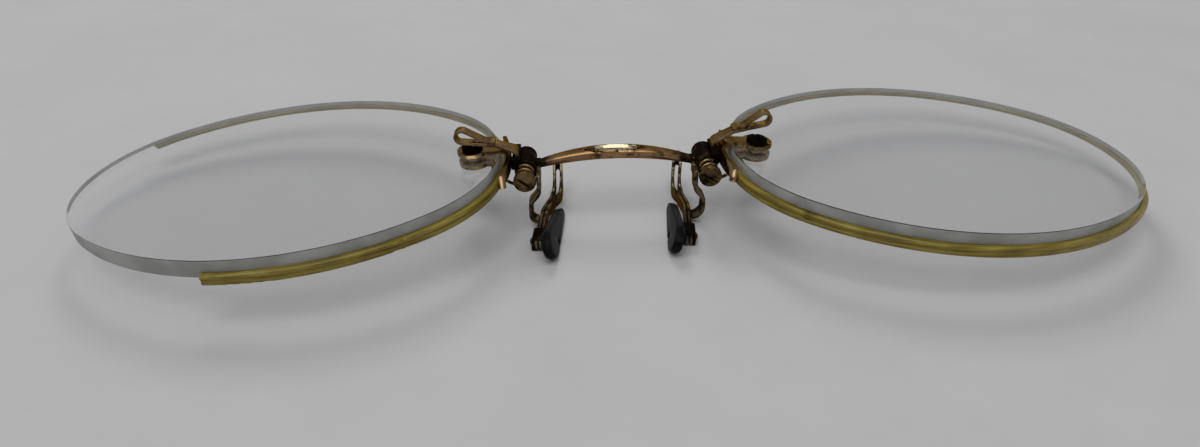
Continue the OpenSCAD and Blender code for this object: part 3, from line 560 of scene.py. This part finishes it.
class Bench:
    """Hand tools for meshes: every cut and bend is one of Blender's own operators."""

    @staticmethod
    def clear() -> None:
        """Leaves nothing selected."""
        if bpy.context.mode != "OBJECT":
            bpy.ops.object.mode_set(mode="OBJECT")
        bpy.ops.object.select_all(action="DESELECT")

    @staticmethod
    def take(piece: bpy.types.Object) -> None:
        """Selects one piece alone and makes it the active one."""
        Bench.clear()
        piece.select_set(True)
        bpy.context.view_layer.objects.active = piece

    @staticmethod
    def apply(piece: bpy.types.Object, kind: str, **settings: object) -> None:
        """Adds a modifier and applies it.

        Args:
            piece: the mesh.
            kind: Blender's type of the modifier.
            settings: the modifier's settings.
        """
        Bench.take(piece)
        added = piece.modifiers.new(kind.lower(), kind)
        for key, setting in settings.items():
            setattr(added, key, setting)
        bpy.ops.object.modifier_apply(modifier=added.name)

    @staticmethod
    def settle(piece: bpy.types.Object) -> None:
        """Puts a piece's place into its mesh."""
        Bench.take(piece)
        bpy.ops.object.transform_apply(location=True, rotation=True, scale=True)

    @staticmethod
    def smooth(piece: bpy.types.Object, degrees: float = 32.0) -> None:
        """Shades a piece smooth up to an angle between its faces."""
        Bench.take(piece)
        bpy.ops.object.shade_smooth_by_angle(angle=math.radians(degrees))

    @staticmethod
    def copy_of(node: str, weld: float = 0.012) -> bpy.types.Object:
        """Copies a CAD node's mesh, welds its triangles and clears the flat ones' edges.

        Args:
            node: the CAD node's name.
            weld: distance within which corners are joined, in millimetres.

        Returns:
            The copy, as a piece of its own.
        """
        source = bpy.data.objects[node]
        piece = bpy.data.objects.new(f"{node}_finished", source.data.copy())
        piece.data.materials.clear()
        bpy.context.scene.collection.objects.link(piece)
        Bench.take(piece)
        bpy.ops.object.mode_set(mode="EDIT")
        bpy.ops.mesh.select_all(action="SELECT")
        bpy.ops.mesh.remove_doubles(threshold=weld * MM)
        bpy.ops.mesh.dissolve_limited(angle_limit=math.radians(0.2))
        bpy.ops.object.mode_set(mode="OBJECT")
        return piece

    @staticmethod
    def round_edges(piece: bpy.types.Object, width: float, segments: int = 2, degrees: float = 35.0) -> None:
        """Rounds the edges of a piece that are sharper than an angle.

        Args:
            piece: the mesh.
            width: reach of the rounding, in millimetres.
            segments: faces across it.
            degrees: least angle of an edge that is rounded.
        """
        Bench.apply(
            piece, "BEVEL", width=width * MM, segments=segments, limit_method="ANGLE",
            angle_limit=math.radians(degrees), use_clamp_overlap=True, miter_outer="MITER_ARC",
        )

    @staticmethod
    def hand_over(
        piece: bpy.types.Object, body: str, slot: str, finish: bpy.types.Material, *nodes: str,
    ) -> None:
        """Dresses a finished piece and hands it to the frame.

        Args:
            piece: the mesh, with its place in its mesh.
            body: the CAD body that it rides on.
            slot: the name of a material slot, which is not used.
            finish: its material.
            nodes: the CAD nodes that it stands for.
        """
        if not piece.data.materials:
            piece.data.materials.append(finish)
        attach(piece, body)
        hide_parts(*nodes)
        LOG.info("%s: %d faces", piece.name, len(piece.data.polygons))

    @staticmethod
    def ribbon(
        name: str, path: Sequence[Vector], widths: Sequence[float], across: Vector,
        thickness: float, edge: float,
    ) -> bpy.types.Object:
        """Bends a strip of sheet metal along a path.

        Args:
            name: the piece's name.
            path: the middle line, in millimetres.
            widths: the strip's width at each point of the path.
            across: unit vector along the width, which is Y or Z.
            thickness: of the sheet.
            edge: reach of the rounding of its edges.

        Returns:
            The strip, solid and with rounded edges.
        """
        Bench.clear()
        way = (path[1] - path[0]).normalized()
        turn = Matrix((way, across, way.cross(across))).transposed().to_euler()
        bpy.ops.mesh.primitive_plane_add(size=1, location=(path[0] + path[1]) / 2 * MM, rotation=turn)
        piece = bpy.context.object
        piece.name = name
        piece.scale = ((path[1] - path[0]).length * MM, widths[0] * MM, 1)
        Bench.settle(piece)
        lead = path[1] * MM
        bpy.ops.object.mode_set(mode="EDIT")
        bpy.ops.mesh.select_all(action="DESELECT")
        bpy.ops.object.mode_set(mode="OBJECT")
        for vertex in piece.data.vertices:
            vertex.select = abs((vertex.co - lead).dot(way)) < 1e-7
        bpy.ops.object.mode_set(mode="EDIT")
        bpy.ops.mesh.select_mode(type="VERT")
        for index in range(2, len(path)):
            step = (path[index] - path[index - 1]) * MM
            bpy.ops.mesh.extrude_region_move(TRANSFORM_OT_translate={"value": step})
            ratio = widths[index] / widths[index - 1]
            bpy.ops.transform.resize(
                value=[1 + (ratio - 1) * abs(axis) for axis in across], center_override=path[index] * MM,
            )
        bpy.ops.object.mode_set(mode="OBJECT")
        Bench.apply(piece, "SOLIDIFY", thickness=thickness * MM, offset=0, use_even_offset=True)
        Bench.round_edges(piece, edge, 3)
        Bench.smooth(piece)
        return piece


def bent_line(steps: Steps, flat_degrees: float = 8.0) -> list[tuple[float, float]]:
    """Follows a strip that runs straight and bends in one plane.

    Args:
        steps: (length,) for a straight stretch and (radius, degrees) for a bend to the left.
        flat_degrees: most turn between two points.

    Returns:
        The points of its middle line, which starts at the origin along the first axis.
    """
    x, y, heading = 0.0, 0.0, 0.0
    line = [(x, y)]
    for step in steps:
        if len(step) == 1:
            x += step[0] * math.cos(heading)
            y += step[0] * math.sin(heading)
            line.append((x, y))
            continue
        radius, turn = step[0], math.radians(step[1])
        side = math.copysign(1, turn)
        count = max(1, math.ceil(abs(step[1]) / flat_degrees))
        for k in range(1, count + 1):
            angle = heading + turn * k / count
            line.append((
                x + side * radius * (math.sin(angle) - math.sin(heading)),
                y - side * radius * (math.cos(angle) - math.cos(heading)),
            ))
        x, y = line[-1]
        heading += turn
    return line


@dataclass
class Hub:
    """The pivot of one side, from which its pieces are measured outboard, away and up."""

    side: Side

    def __post_init__(self) -> None:
        """Finds the pivot axis from the pivot screw."""
        low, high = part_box(self.side.node("pivot_screw"))
        middle = (low + high) / 2 / MM
        self.x = middle.x
        self.z = middle.z

    def at(self, outboard: float, y: float, up: float) -> Vector:
        """Returns a point of the frame, in millimetres."""
        return Vector((self.x + self.side.value * outboard, y, self.z + up))


@dataclass
class Bridge:
    """The arched bar: thick in the middle with a polished flat on its crown, and thin at its ends."""

    rise: float = 1.0
    width: float = 1.7
    thickness: float = 1.05
    end_w: float = 1.0
    end_t: float = 0.7
    power: float = 2.8
    sides: int = 40
    flat: float = 0.12
    stations: int = 36
    level: float = 0.001

    def __post_init__(self) -> None:
        """Finds the bar's middle and half length in millimetres, and its crown in metres, from its node."""
        low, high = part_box("bridge")
        self.middle = (low + high) / 2 / MM
        self.half = (high - low).x / 2 / MM
        self.crown = high.z
        self.base = high.z / MM - self.rise - self.thickness / 2 + self.flat

    def build(self, finish: bpy.types.Material, polished: bpy.types.Material) -> None:
        """Draws the bar out from its left end, then files its crown flat.

        Args:
            finish: the bar's material.
            polished: the material of the flat, untarnished gold whose far paler colour is a painted
                highlight.
        """
        place, size = self._station(0)
        Bench.clear()
        bpy.ops.mesh.primitive_circle_add(
            vertices=self.sides, radius=0.5, fill_type="NGON", location=place,
            rotation=(math.pi / 2, 0, math.pi / 2),
        )
        piece = bpy.context.object
        piece.name = "bridge_bar"
        for corner in piece.data.vertices:
            c, s = corner.co.xy.normalized()
            corner.co.xy = corner.co.xy / (abs(c) ** self.power + abs(s) ** self.power) ** (1 / self.power)
        piece.scale = (size[0], size[1], 1)
        Bench.settle(piece)
        bpy.ops.object.mode_set(mode="EDIT")
        bpy.ops.mesh.select_mode(type="FACE")
        bpy.ops.mesh.select_all(action="SELECT")
        for index in range(1, self.stations + 1):
            ahead, grown = self._station(index)
            bpy.ops.mesh.extrude_region_move(TRANSFORM_OT_translate={"value": ahead - place})
            ratio = (1, grown[0] / size[0], grown[1] / size[1])
            bpy.ops.transform.resize(value=ratio, center_override=ahead)
            place, size = ahead, grown
        bpy.ops.mesh.select_all(action="SELECT")
        bpy.ops.mesh.bisect(
            plane_co=(0, 0, self.crown), plane_no=(0, 0, 1), clear_outer=True, use_fill=True,
        )
        bpy.ops.mesh.select_all(action="SELECT")
        bpy.ops.mesh.normals_make_consistent(inside=False)
        bpy.ops.object.mode_set(mode="OBJECT")
        Bench.smooth(piece, 40)
        piece.data.materials.append(finish)
        # The flat gets the pale gold that paints its highlight.
        piece.data.materials.append(polished)
        level = self.crown - self.level * MM
        for face in piece.data.polygons:
            filed = all(piece.data.vertices[i].co.z > level for i in face.vertices)
            face.material_index = 1 if filed else 0
            face.select = filed
        bpy.ops.object.mode_set(mode="EDIT")
        bpy.ops.mesh.select_mode(type="FACE")
        bpy.ops.mesh.region_to_loop()
        bpy.ops.mesh.mark_sharp()
        bpy.ops.object.mode_set(mode="OBJECT")
        Bench.hand_over(piece, "frame", "bridge_metal", finish, "bridge")

    def _station(self, index: int) -> tuple[Vector, tuple[float, float]]:
        """Works out the section at one place along the bar.

        Args:
            index: the place, from 0 at the left end.

        Returns:
            The section's middle and its width and thickness, in metres.
        """
        along = 2 * index / self.stations - 1
        full = 1 - along ** 2
        middle = Vector((self.middle.x + self.half * along, self.middle.y, self.base + self.rise * full))
        width = self.end_w + (self.width - self.end_w) * full
        thickness = self.end_t + (self.thickness - self.end_t) * full
        return middle * MM, (width * MM, thickness * MM)


@dataclass
class Lens:
    """One lens and its rim strip."""

    side: Side
    width: float = 38.5
    height: float = 29.5
    edge: float = 1.4
    bulge: float = 0.2
    face_form: float = 3.4
    turn: float = 3.1
    end_share: float = 1.08
    edge_round: float = 0.07
    flat_tilt: float = 0.86
    corners: int = 240
    rings: tuple[float, ...] = (0.985, 0.94, 0.86, 0.74, 0.58, 0.38, 0.16)
    hole_r: float = 0.6
    hole_corners: int = 48
    rim_weld: float = 0.002

    def __post_init__(self) -> None:
        """Works out the oval's four arcs and the lens's own axes."""
        self.half_w = self.width / 2
        self.half_h = self.height / 2
        self.end_r = self.end_share * self.half_h ** 2 / self.half_w
        self.end_x = self.half_w - self.end_r
        rest = self.half_h - self.end_r
        self.side_r = (self.half_w ** 2 + self.half_h ** 2 - 2 * self.half_w * self.end_r) / (2 * rest)
        self.joint = math.atan2(self.side_r - self.half_h, self.end_x)
        self.crown_r = (self.half_w ** 2 + self.bulge ** 2) / (2 * self.bulge)
        low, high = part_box(self.side.node("lens"))
        self.centre = (low + high) / 2
        tilt = Matrix.Rotation(math.radians(self.face_form * self.side.value), 4, "Y")
        turn = Matrix.Rotation(math.radians(self.turn * self.side.value), 4, "Z")
        self.axes = Matrix.Translation(self.centre) @ tilt @ turn

    def _reach(self, angle: float) -> float:
        """Measures the four-arc oval in one direction.

        Args:
            angle: the direction, in radians.

        Returns:
            The edge's distance from the oval's centre, in millimetres.
        """
        c, s = abs(math.cos(angle)), abs(math.sin(angle))
        end = self.end_x * c + math.sqrt(self.end_r ** 2 - (self.end_x * s) ** 2)
        if math.atan2(end * s, end * c - self.end_x) <= self.joint:
            return end
        drop = self.side_r - self.half_h
        return -drop * s + math.sqrt(self.side_r ** 2 - (drop * c) ** 2)

    def _crown(self, out: float) -> float:
        """Returns the height of the polished face at a distance from the middle."""
        sag = self.crown_r - math.sqrt(self.crown_r ** 2 - out ** 2)
        return self.edge / 2 + self.bulge - sag

    def build(self, glass: bpy.types.Material, ground: bpy.types.Material) -> None:
        """Grinds the crowned lens and drills it.

        Args:
            glass: the material of both faces.
            ground: the material of the edge and of the drilled hole.
        """
        Bench.clear()
        bpy.ops.mesh.primitive_circle_add(vertices=self.corners, radius=1, fill_type="NOTHING")
        piece = bpy.context.object
        piece.name = self.side.node("lens_glass")
        bpy.ops.object.mode_set(mode="EDIT")
        bpy.ops.mesh.select_mode(type="VERT")
        bpy.ops.mesh.select_all(action="SELECT")
        last = 1.0
        for share in self.rings:
            bpy.ops.mesh.extrude_region_move()
            bpy.ops.transform.resize(value=(share / last, share / last, 1))
            last = share
        bpy.ops.mesh.extrude_region_move()
        bpy.ops.mesh.merge(type="CENTER")
        bpy.ops.object.mode_set(mode="OBJECT")
        Bench.apply(piece, "SOLIDIFY", thickness=1, offset=0)
        for corner in piece.data.vertices:
            angle = math.atan2(corner.co.y, corner.co.x)
            out = min(1.0, corner.co.xy.length) * self._reach(angle)
            rise = math.copysign(self._crown(out), corner.co.z)
            corner.co = Vector((out * math.cos(angle), out * math.sin(angle), rise)) * MM
        Bench.take(piece)
        bpy.ops.object.mode_set(mode="EDIT")
        bpy.ops.mesh.select_all(action="SELECT")
        bpy.ops.mesh.normals_make_consistent(inside=False)
        bpy.ops.object.mode_set(mode="OBJECT")
        Bench.round_edges(piece, self.edge_round, 2, 50)
        self._drill(piece)
        piece.data.materials.clear()
        piece.data.materials.append(glass)
        piece.data.materials.append(ground)
        for face in piece.data.polygons:
            face.material_index = 0 if abs(face.normal.z) > self.flat_tilt else 1
        piece.matrix_world = self.axes
        Bench.settle(piece)
        Bench.smooth(piece)
        Bench.hand_over(piece, "frame", "glass", glass, self.side.node("lens"))

    def _drill(self, piece: bpy.types.Object) -> None:
        """Drills the hole for the lens screw.

        Args:
            piece: the lens, which still lies on its own axes.
        """
        low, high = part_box(self.side.node("lens_screw"))
        spot = self.axes.inverted() @ ((low + high) / 2)
        Bench.clear()
        bpy.ops.mesh.primitive_cylinder_add(
            vertices=self.hole_corners, radius=self.hole_r * MM, depth=4 * self.edge * MM,
            location=(spot.x, spot.y, 0),
        )
        drill = bpy.context.object
        Bench.settle(drill)
        Bench.apply(piece, "BOOLEAN", operation="DIFFERENCE", object=drill, solver="EXACT")
        bpy.data.objects.remove(drill)

    def build_rim(self) -> None:
        """Dresses the rim strip."""
        finish = Celluloid(
            self.side.node("celluloid"), tuple(self.centre / MM), self.half_w, self.half_h,
        ).material()
        node = self.side.node("rim")
        piece = Bench.copy_of(node, self.rim_weld)
        Bench.smooth(piece, 40)
        Bench.hand_over(piece, "frame", "rim_strip", finish, node)


@dataclass
class FingerPiece:
    """The looped strip that a finger presses."""

    hub: Hub
    rise: float
    flatten: float
    y: float
    seat_x: float = 0.7
    seat_up: float = 1.25
    thickness: float = 0.28
    root_w: float = 1.5
    waist_w: float = 0.9
    steep: float = 1.5
    length: float = 2.9
    gap: float = 0.9
    close: float = 25.0
    foot: float = 0.04
    root_r: float = 0.5
    taper: float = 1.0
    soft_r: float = 1.0
    tail: float = 0.7
    edge: float = 0.08

    def build(self, finish: bpy.types.Material) -> None:
        """Bends the strip up from its seat, outward, round its loop and back onto itself.

        Args:
            finish: the strip's material.
        """
        side = self.hub.side
        loop_r = (self.gap + self.thickness) / 2
        close = math.radians(self.close)
        back = (
            loop_r * (1 + math.cos(close)) - self.soft_r * (1 - math.cos(close)) - self.thickness
        ) / math.sin(close)
        line = bent_line((
            (self.foot,), (self.root_r, self.rise - 90), (self.steep / 2,), (self.steep / 2,),
            (self.soft_r, -self.flatten), (self.length / 2,), (self.length / 2,),
            (loop_r, 180 + self.close), (back,), (self.soft_r, -self.close), (self.tail,),
        ))
        path = [self.hub.at(self.seat_x - aside, self.y, self.seat_up + along) for along, aside in line]
        widths = [self._width(-aside) for _, aside in line]
        across = Vector((0, 1, 0))
        piece = Bench.ribbon(
            side.node("finger_strip_bent"), path, widths, across, self.thickness, self.edge,
        )
        Bench.hand_over(piece, side.lever, "gold_metal", finish, side.node("finger_strip"))

    def _width(self, out: float) -> float:
        """Works out the strip's width at one place.

        Args:
            out: distance outboard from its foot.

        Returns:
            The width there, all in millimetres.
        """
        waist = self.steep + self.taper
        share = min(1.0, max(0.0, (out - self.root_r) / (waist - self.root_r)))
        return self.root_w + (self.waist_w - self.root_w) * share


@dataclass
class Guard:
    """The doubled guard strip that carries the pad, in the frame's own coordinates."""

    hub: Hub
    shift: float = 0.0
    turn: float = -5.5
    inboard: float = 1.45
    near: float = -7.2
    bend_y: float = -2.2
    slant: float = 14.0
    strand_gap: float = 0.06
    thickness: float = 0.3
    width: float = 1.1
    hairpin: float = 0.66
    bend_r: float = 4.0
    run: float = 1.6
    part_r: float = 2.0
    flare: float = 20.0
    tip: float = 1.0
    flat_degrees: float = 6.0
    edge: float = 0.08
    lift_y: float = 1.3
    lift_r: float = 0.9
    lift: float = 45.0
    foot_y: float = -2.8

    def _turned(self, spot: Vector) -> Vector:
        """Turns a point with the guard about the foot of its arm.

        Args:
            spot: the point on the straight guard.

        Returns:
            The same point on the bent guard, in millimetres.
        """
        strip_half = self.strand_gap / 2 + self.thickness
        pin = self.hub.at(strip_half - self.inboard, self.foot_y, 0)
        pin.z = 0
        inward = Vector((self.hub.side.value * self.shift, 0, 0))
        return Matrix.Rotation(math.radians(self.turn), 3, "Z") @ (spot - pin) + pin - inward

    def _height(self, y: float) -> tuple[float, float]:
        """Gives the strip's middle height and its upright width at one place.

        Args:
            y: the place along Y, in millimetres.

        Returns:
            The height of the middle above the table, and the width measured straight up.
        """
        full = math.radians(self.lift)
        past = y - self.lift_y
        if past <= 0:
            return self.width / 2, self.width
        reach = self.lift_r * math.sin(full)
        angle = math.asin(min(past, reach) / self.lift_r)
        bend = self.lift_r * (1 - math.cos(angle))
        slope = max(0.0, past - reach) * math.tan(full)
        return self.width / 2 + bend + slope, self.width / math.cos(angle)

    def build(self, finish: bpy.types.Material) -> None:
        """Bends the strip out along the table, round its hairpin and back.

        Args:
            finish: the strip's material.
        """
        side = self.hub.side
        apart = (self.strand_gap + self.thickness) / 2
        half = self.hairpin / 2
        part = math.degrees(math.acos(1 - (half - apart) / (2 * self.part_r)))
        near = self.bend_y - self.near
        line = bent_line((
            (near,), (self.bend_r + apart, self.slant), (self.run,), (self.part_r, -part),
            (self.part_r, part), (self.bend_r - half, -self.flare), (self.tip,),
            (half, 180),
            (self.tip,), (self.bend_r + half, self.flare), (self.part_r, part),
            (self.part_r, -part), (self.run,), (self.bend_r - apart, -self.slant), (near,),
        ), self.flat_degrees)
        path, widths = [], []
        for along, aside in line:
            y = self.near + along
            height, upright = self._height(y)
            spot = self.hub.at(-self.inboard + apart - aside, y, 0)
            path.append(self._turned(Vector((spot.x, y, height))))
            widths.append(upright)
        across = Vector((0, 0, 1))
        piece = Bench.ribbon(side.node("guard_strip_bent"), path, widths, across, self.thickness, self.edge)
        Bench.hand_over(piece, side.lever, "aged_metal", finish, side.node("guard_loop"))


@dataclass
class Spring:
    """The coil round the pivot screw, with its leg to the shoe."""

    hub: Hub
    wire: float = 0.3
    radius: float = 0.75
    turns: float = 1.633
    start: float = -72.0
    near: float = -3.25
    far: float = -2.05
    hook: Point = (1.52, -3.51, -0.05)
    straight: float = 1.05
    coil_steps: int = 48
    tuck: tuple[tuple[float, float], ...] = ((0.12, 0.06), (0.06, 0.2))

    def _coil(self, share: float) -> Vector:
        """Follows the coil.

        Args:
            share: how far along it, from 0 to 1.

        Returns:
            The wire's middle there, in millimetres.
        """
        angle = math.radians(self.start - 360 * self.turns * share)
        y = self.near + (self.far - self.near) * share
        return self.hub.at(self.radius * math.cos(angle), y, self.radius * math.sin(angle))

    def build(self, finish: bpy.types.Material) -> None:
        """Winds the wire: its hook, its leg, its turns and its tucked end.

        Args:
            finish: the wire's material.
        """
        side = self.hub.side
        first = math.radians(self.start)
        knee = self._coil(0) - self.straight * Vector((side.value * math.sin(first), 0, -math.cos(first)))
        hook = self.hub.at(*self.hook)
        points = [hook, hook.lerp(knee, 0.5), hook.lerp(knee, 0.85), knee.lerp(self._coil(0), 0.35)]
        points += [self._coil(k / self.coil_steps) for k in range(self.coil_steps + 1)]
        tail = (points[-1] - points[-2]).normalized()
        for ahead, away in self.tuck:
            points.append(points[-1] + tail * ahead + Vector((0, away, 0)))
        Bench.clear()
        bpy.ops.curve.primitive_bezier_curve_add()
        wire = bpy.context.object
        wire.name = side.node("spring_wire")
        curve = wire.data
        curve.splines.clear()
        spline = curve.splines.new("POLY")
        spline.points.add(len(points) - 1)
        for corner, point in zip(spline.points, points):
            corner.co = (*(point * MM), 1)
        curve.bevel_depth = self.wire / 2 * MM
        curve.bevel_resolution = 3
        curve.use_fill_caps = True
        Bench.take(wire)
        bpy.ops.object.convert(target="MESH")
        wire = bpy.context.object
        Bench.settle(wire)
        Bench.smooth(wire, 50)
        Bench.hand_over(wire, "frame", "spring_wire", finish, side.node("coil_spring"))


@dataclass(frozen=True)
class Trim:
    """How the edges of one kind of CAD piece are finished."""

    piece: str
    slot: str
    width: float
    on_lever: bool = False
    segments: int = 2


TRIMS = (
    Trim("stud", "dark_metal", 0.09),
    Trim("strap", "gold_metal", 0.06),
    Trim("lens_screw", "black_screw", 0.06),
    Trim("pivot_screw", "bronze_screw", 0.06),
    Trim("yoke", "dark_metal", 0.09, True),
    Trim("guard_arm", "aged_metal", 0.07, True),
    Trim("pad_clip", "dark_metal", 0.05, True),
    Trim("pad_rivet", "bronze_screw", 0.05, True),
    Trim("pad", "pad_plastic", 0.16, True, 3),
)


def finish_trim(side: Side, finishes: dict[str, bpy.types.Material]) -> None:
    """Rounds the edges of one side's small pieces and dresses them.

    Args:
        side: the wearer's side.
        finishes: the material of each slot.
    """
    for trim in TRIMS:
        node = side.node(trim.piece)
        piece = Bench.copy_of(node)
        Bench.round_edges(piece, trim.width, trim.segments)
        Bench.smooth(piece)
        body = side.lever if trim.on_lever else "frame"
        Bench.hand_over(piece, body, trim.slot, finishes[trim.slot], node)


@dataclass(frozen=True)
class Softbox:
    """A square lamp that faces the middle of the table.

    Its power is the light on the table, as a share of full white, when it hangs straight above.
    """

    name: str
    place: Point
    size: float
    power: float
    mirrored: bool = True

    def hang(self) -> None:
        """Hangs the lamp, which metal and glass reflect only where it is mirrored."""
        Bench.clear()
        spot = Vector(self.place) * MM
        aim = (-spot).to_track_quat("-Z", "Y").to_euler()
        bpy.ops.object.light_add(type="AREA", location=spot, rotation=aim)
        lamp = bpy.context.object
        lamp.name = self.name
        lamp.data.size = self.size * MM
        lamp.data.energy = self.power * math.pi ** 2 * spot.length_squared
        lamp.visible_transmission = False
        lamp.visible_glossy = self.mirrored


@dataclass
class Studio:
    """The table, the lamps and the camera, in millimetres."""

    eye: Point = (-4.46, -63.52, 38.81)
    downward: float = 32.62
    yaw: float = -2.44
    roll: float = -0.53
    focal: float = 23.05
    sensor: float = 36.0
    table: float = 4000.0
    room: Colour = (0.93, 0.95, 1.0)
    room_light: float = 0.42
    lamps: tuple[Softbox, ...] = (
        Softbox("overhead_softbox", (-60, -160, 600), 520, 0.5),
        Softbox("rear_softbox", (-70, 520, 440), 210, 0.34, mirrored=False),
        Softbox("bar_glint", (37, 520, 271), 110, 0.014),
    )

    def build(self) -> None:
        """Sets up the table, world, lamps and camera."""
        self._table()
        self._world()
        for lamp in self.lamps:
            lamp.hang()
        self._camera()

    def _table(self) -> None:
        """Lays the table under the pads."""
        Bench.clear()
        bpy.ops.mesh.primitive_plane_add(size=self.table * MM, location=(0, 0, 0))
        table = bpy.context.object
        table.name = "table"
        table.data.materials.append(TableTop().material())

    def _world(self) -> None:
        """Lights the room evenly."""
        world = bpy.data.worlds.new("room")
        bpy.context.scene.world = world
        world.use_nodes = True
        back = world.node_tree.nodes["Background"]
        back.inputs["Color"].default_value = (*self.room, 1)
        back.inputs["Strength"].default_value = self.room_light

    def _camera(self) -> None:
        """Places the camera at the photograph's point of view."""
        Bench.clear()
        turns = ((self.yaw, "Z"), (90 - self.downward, "X"), (self.roll, "Z"))
        aim = Matrix.Identity(3)
        for degrees, axis in turns:
            aim = aim @ Matrix.Rotation(math.radians(degrees), 3, axis)
        bpy.ops.object.camera_add(location=Vector(self.eye) * MM, rotation=aim.to_euler())
        camera = bpy.context.object
        camera.data.lens = self.focal
        camera.data.sensor_width = self.sensor
        camera.data.clip_start = MM
        bpy.context.scene.camera = camera


def main() -> None:
    """Builds the dressed pince-nez and its studio."""
    logging.basicConfig(level=logging.INFO, format="%(message)s")
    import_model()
    finishes = {
        "gold_metal": PALE_GOLD.material(),
        "dark_metal": DARK_METAL.material(),
        "aged_metal": AGED_METAL.material(),
        "black_screw": BLACK_SCREW.material(),
        "bronze_screw": BRONZE_SCREW.material(),
        "spring_wire": SPRING_GOLD.material(),
        "pad_plastic": PadPlastic().material(),
    }
    glass = ClearGlass().material()
    ground = GroundEdge().material()
    Bridge().build(ROSE_BAR.material(), POLISHED_GOLD_AND_HIGHLIGHT.material())
    for side, rise, flatten, finger_y, shift in (
        (Side.LEFT, 20, 15, -0.7, 0.0),
        (Side.RIGHT, 31, 20, 0.1, 0.3),
    ):
        hub = Hub(side)
        lens = Lens(side)
        lens.build(glass, ground)
        lens.build_rim()
        FingerPiece(hub, rise, flatten, finger_y).build(finishes["gold_metal"])
        Guard(hub, shift).build(finishes["aged_metal"])
        Spring(hub).build(finishes["spring_wire"])
        finish_trim(side, finishes)
    Studio().build()
    bpy.context.scene.view_settings.view_transform = "Standard"
    Bench.clear()


if __name__ == "__main__":
    main()
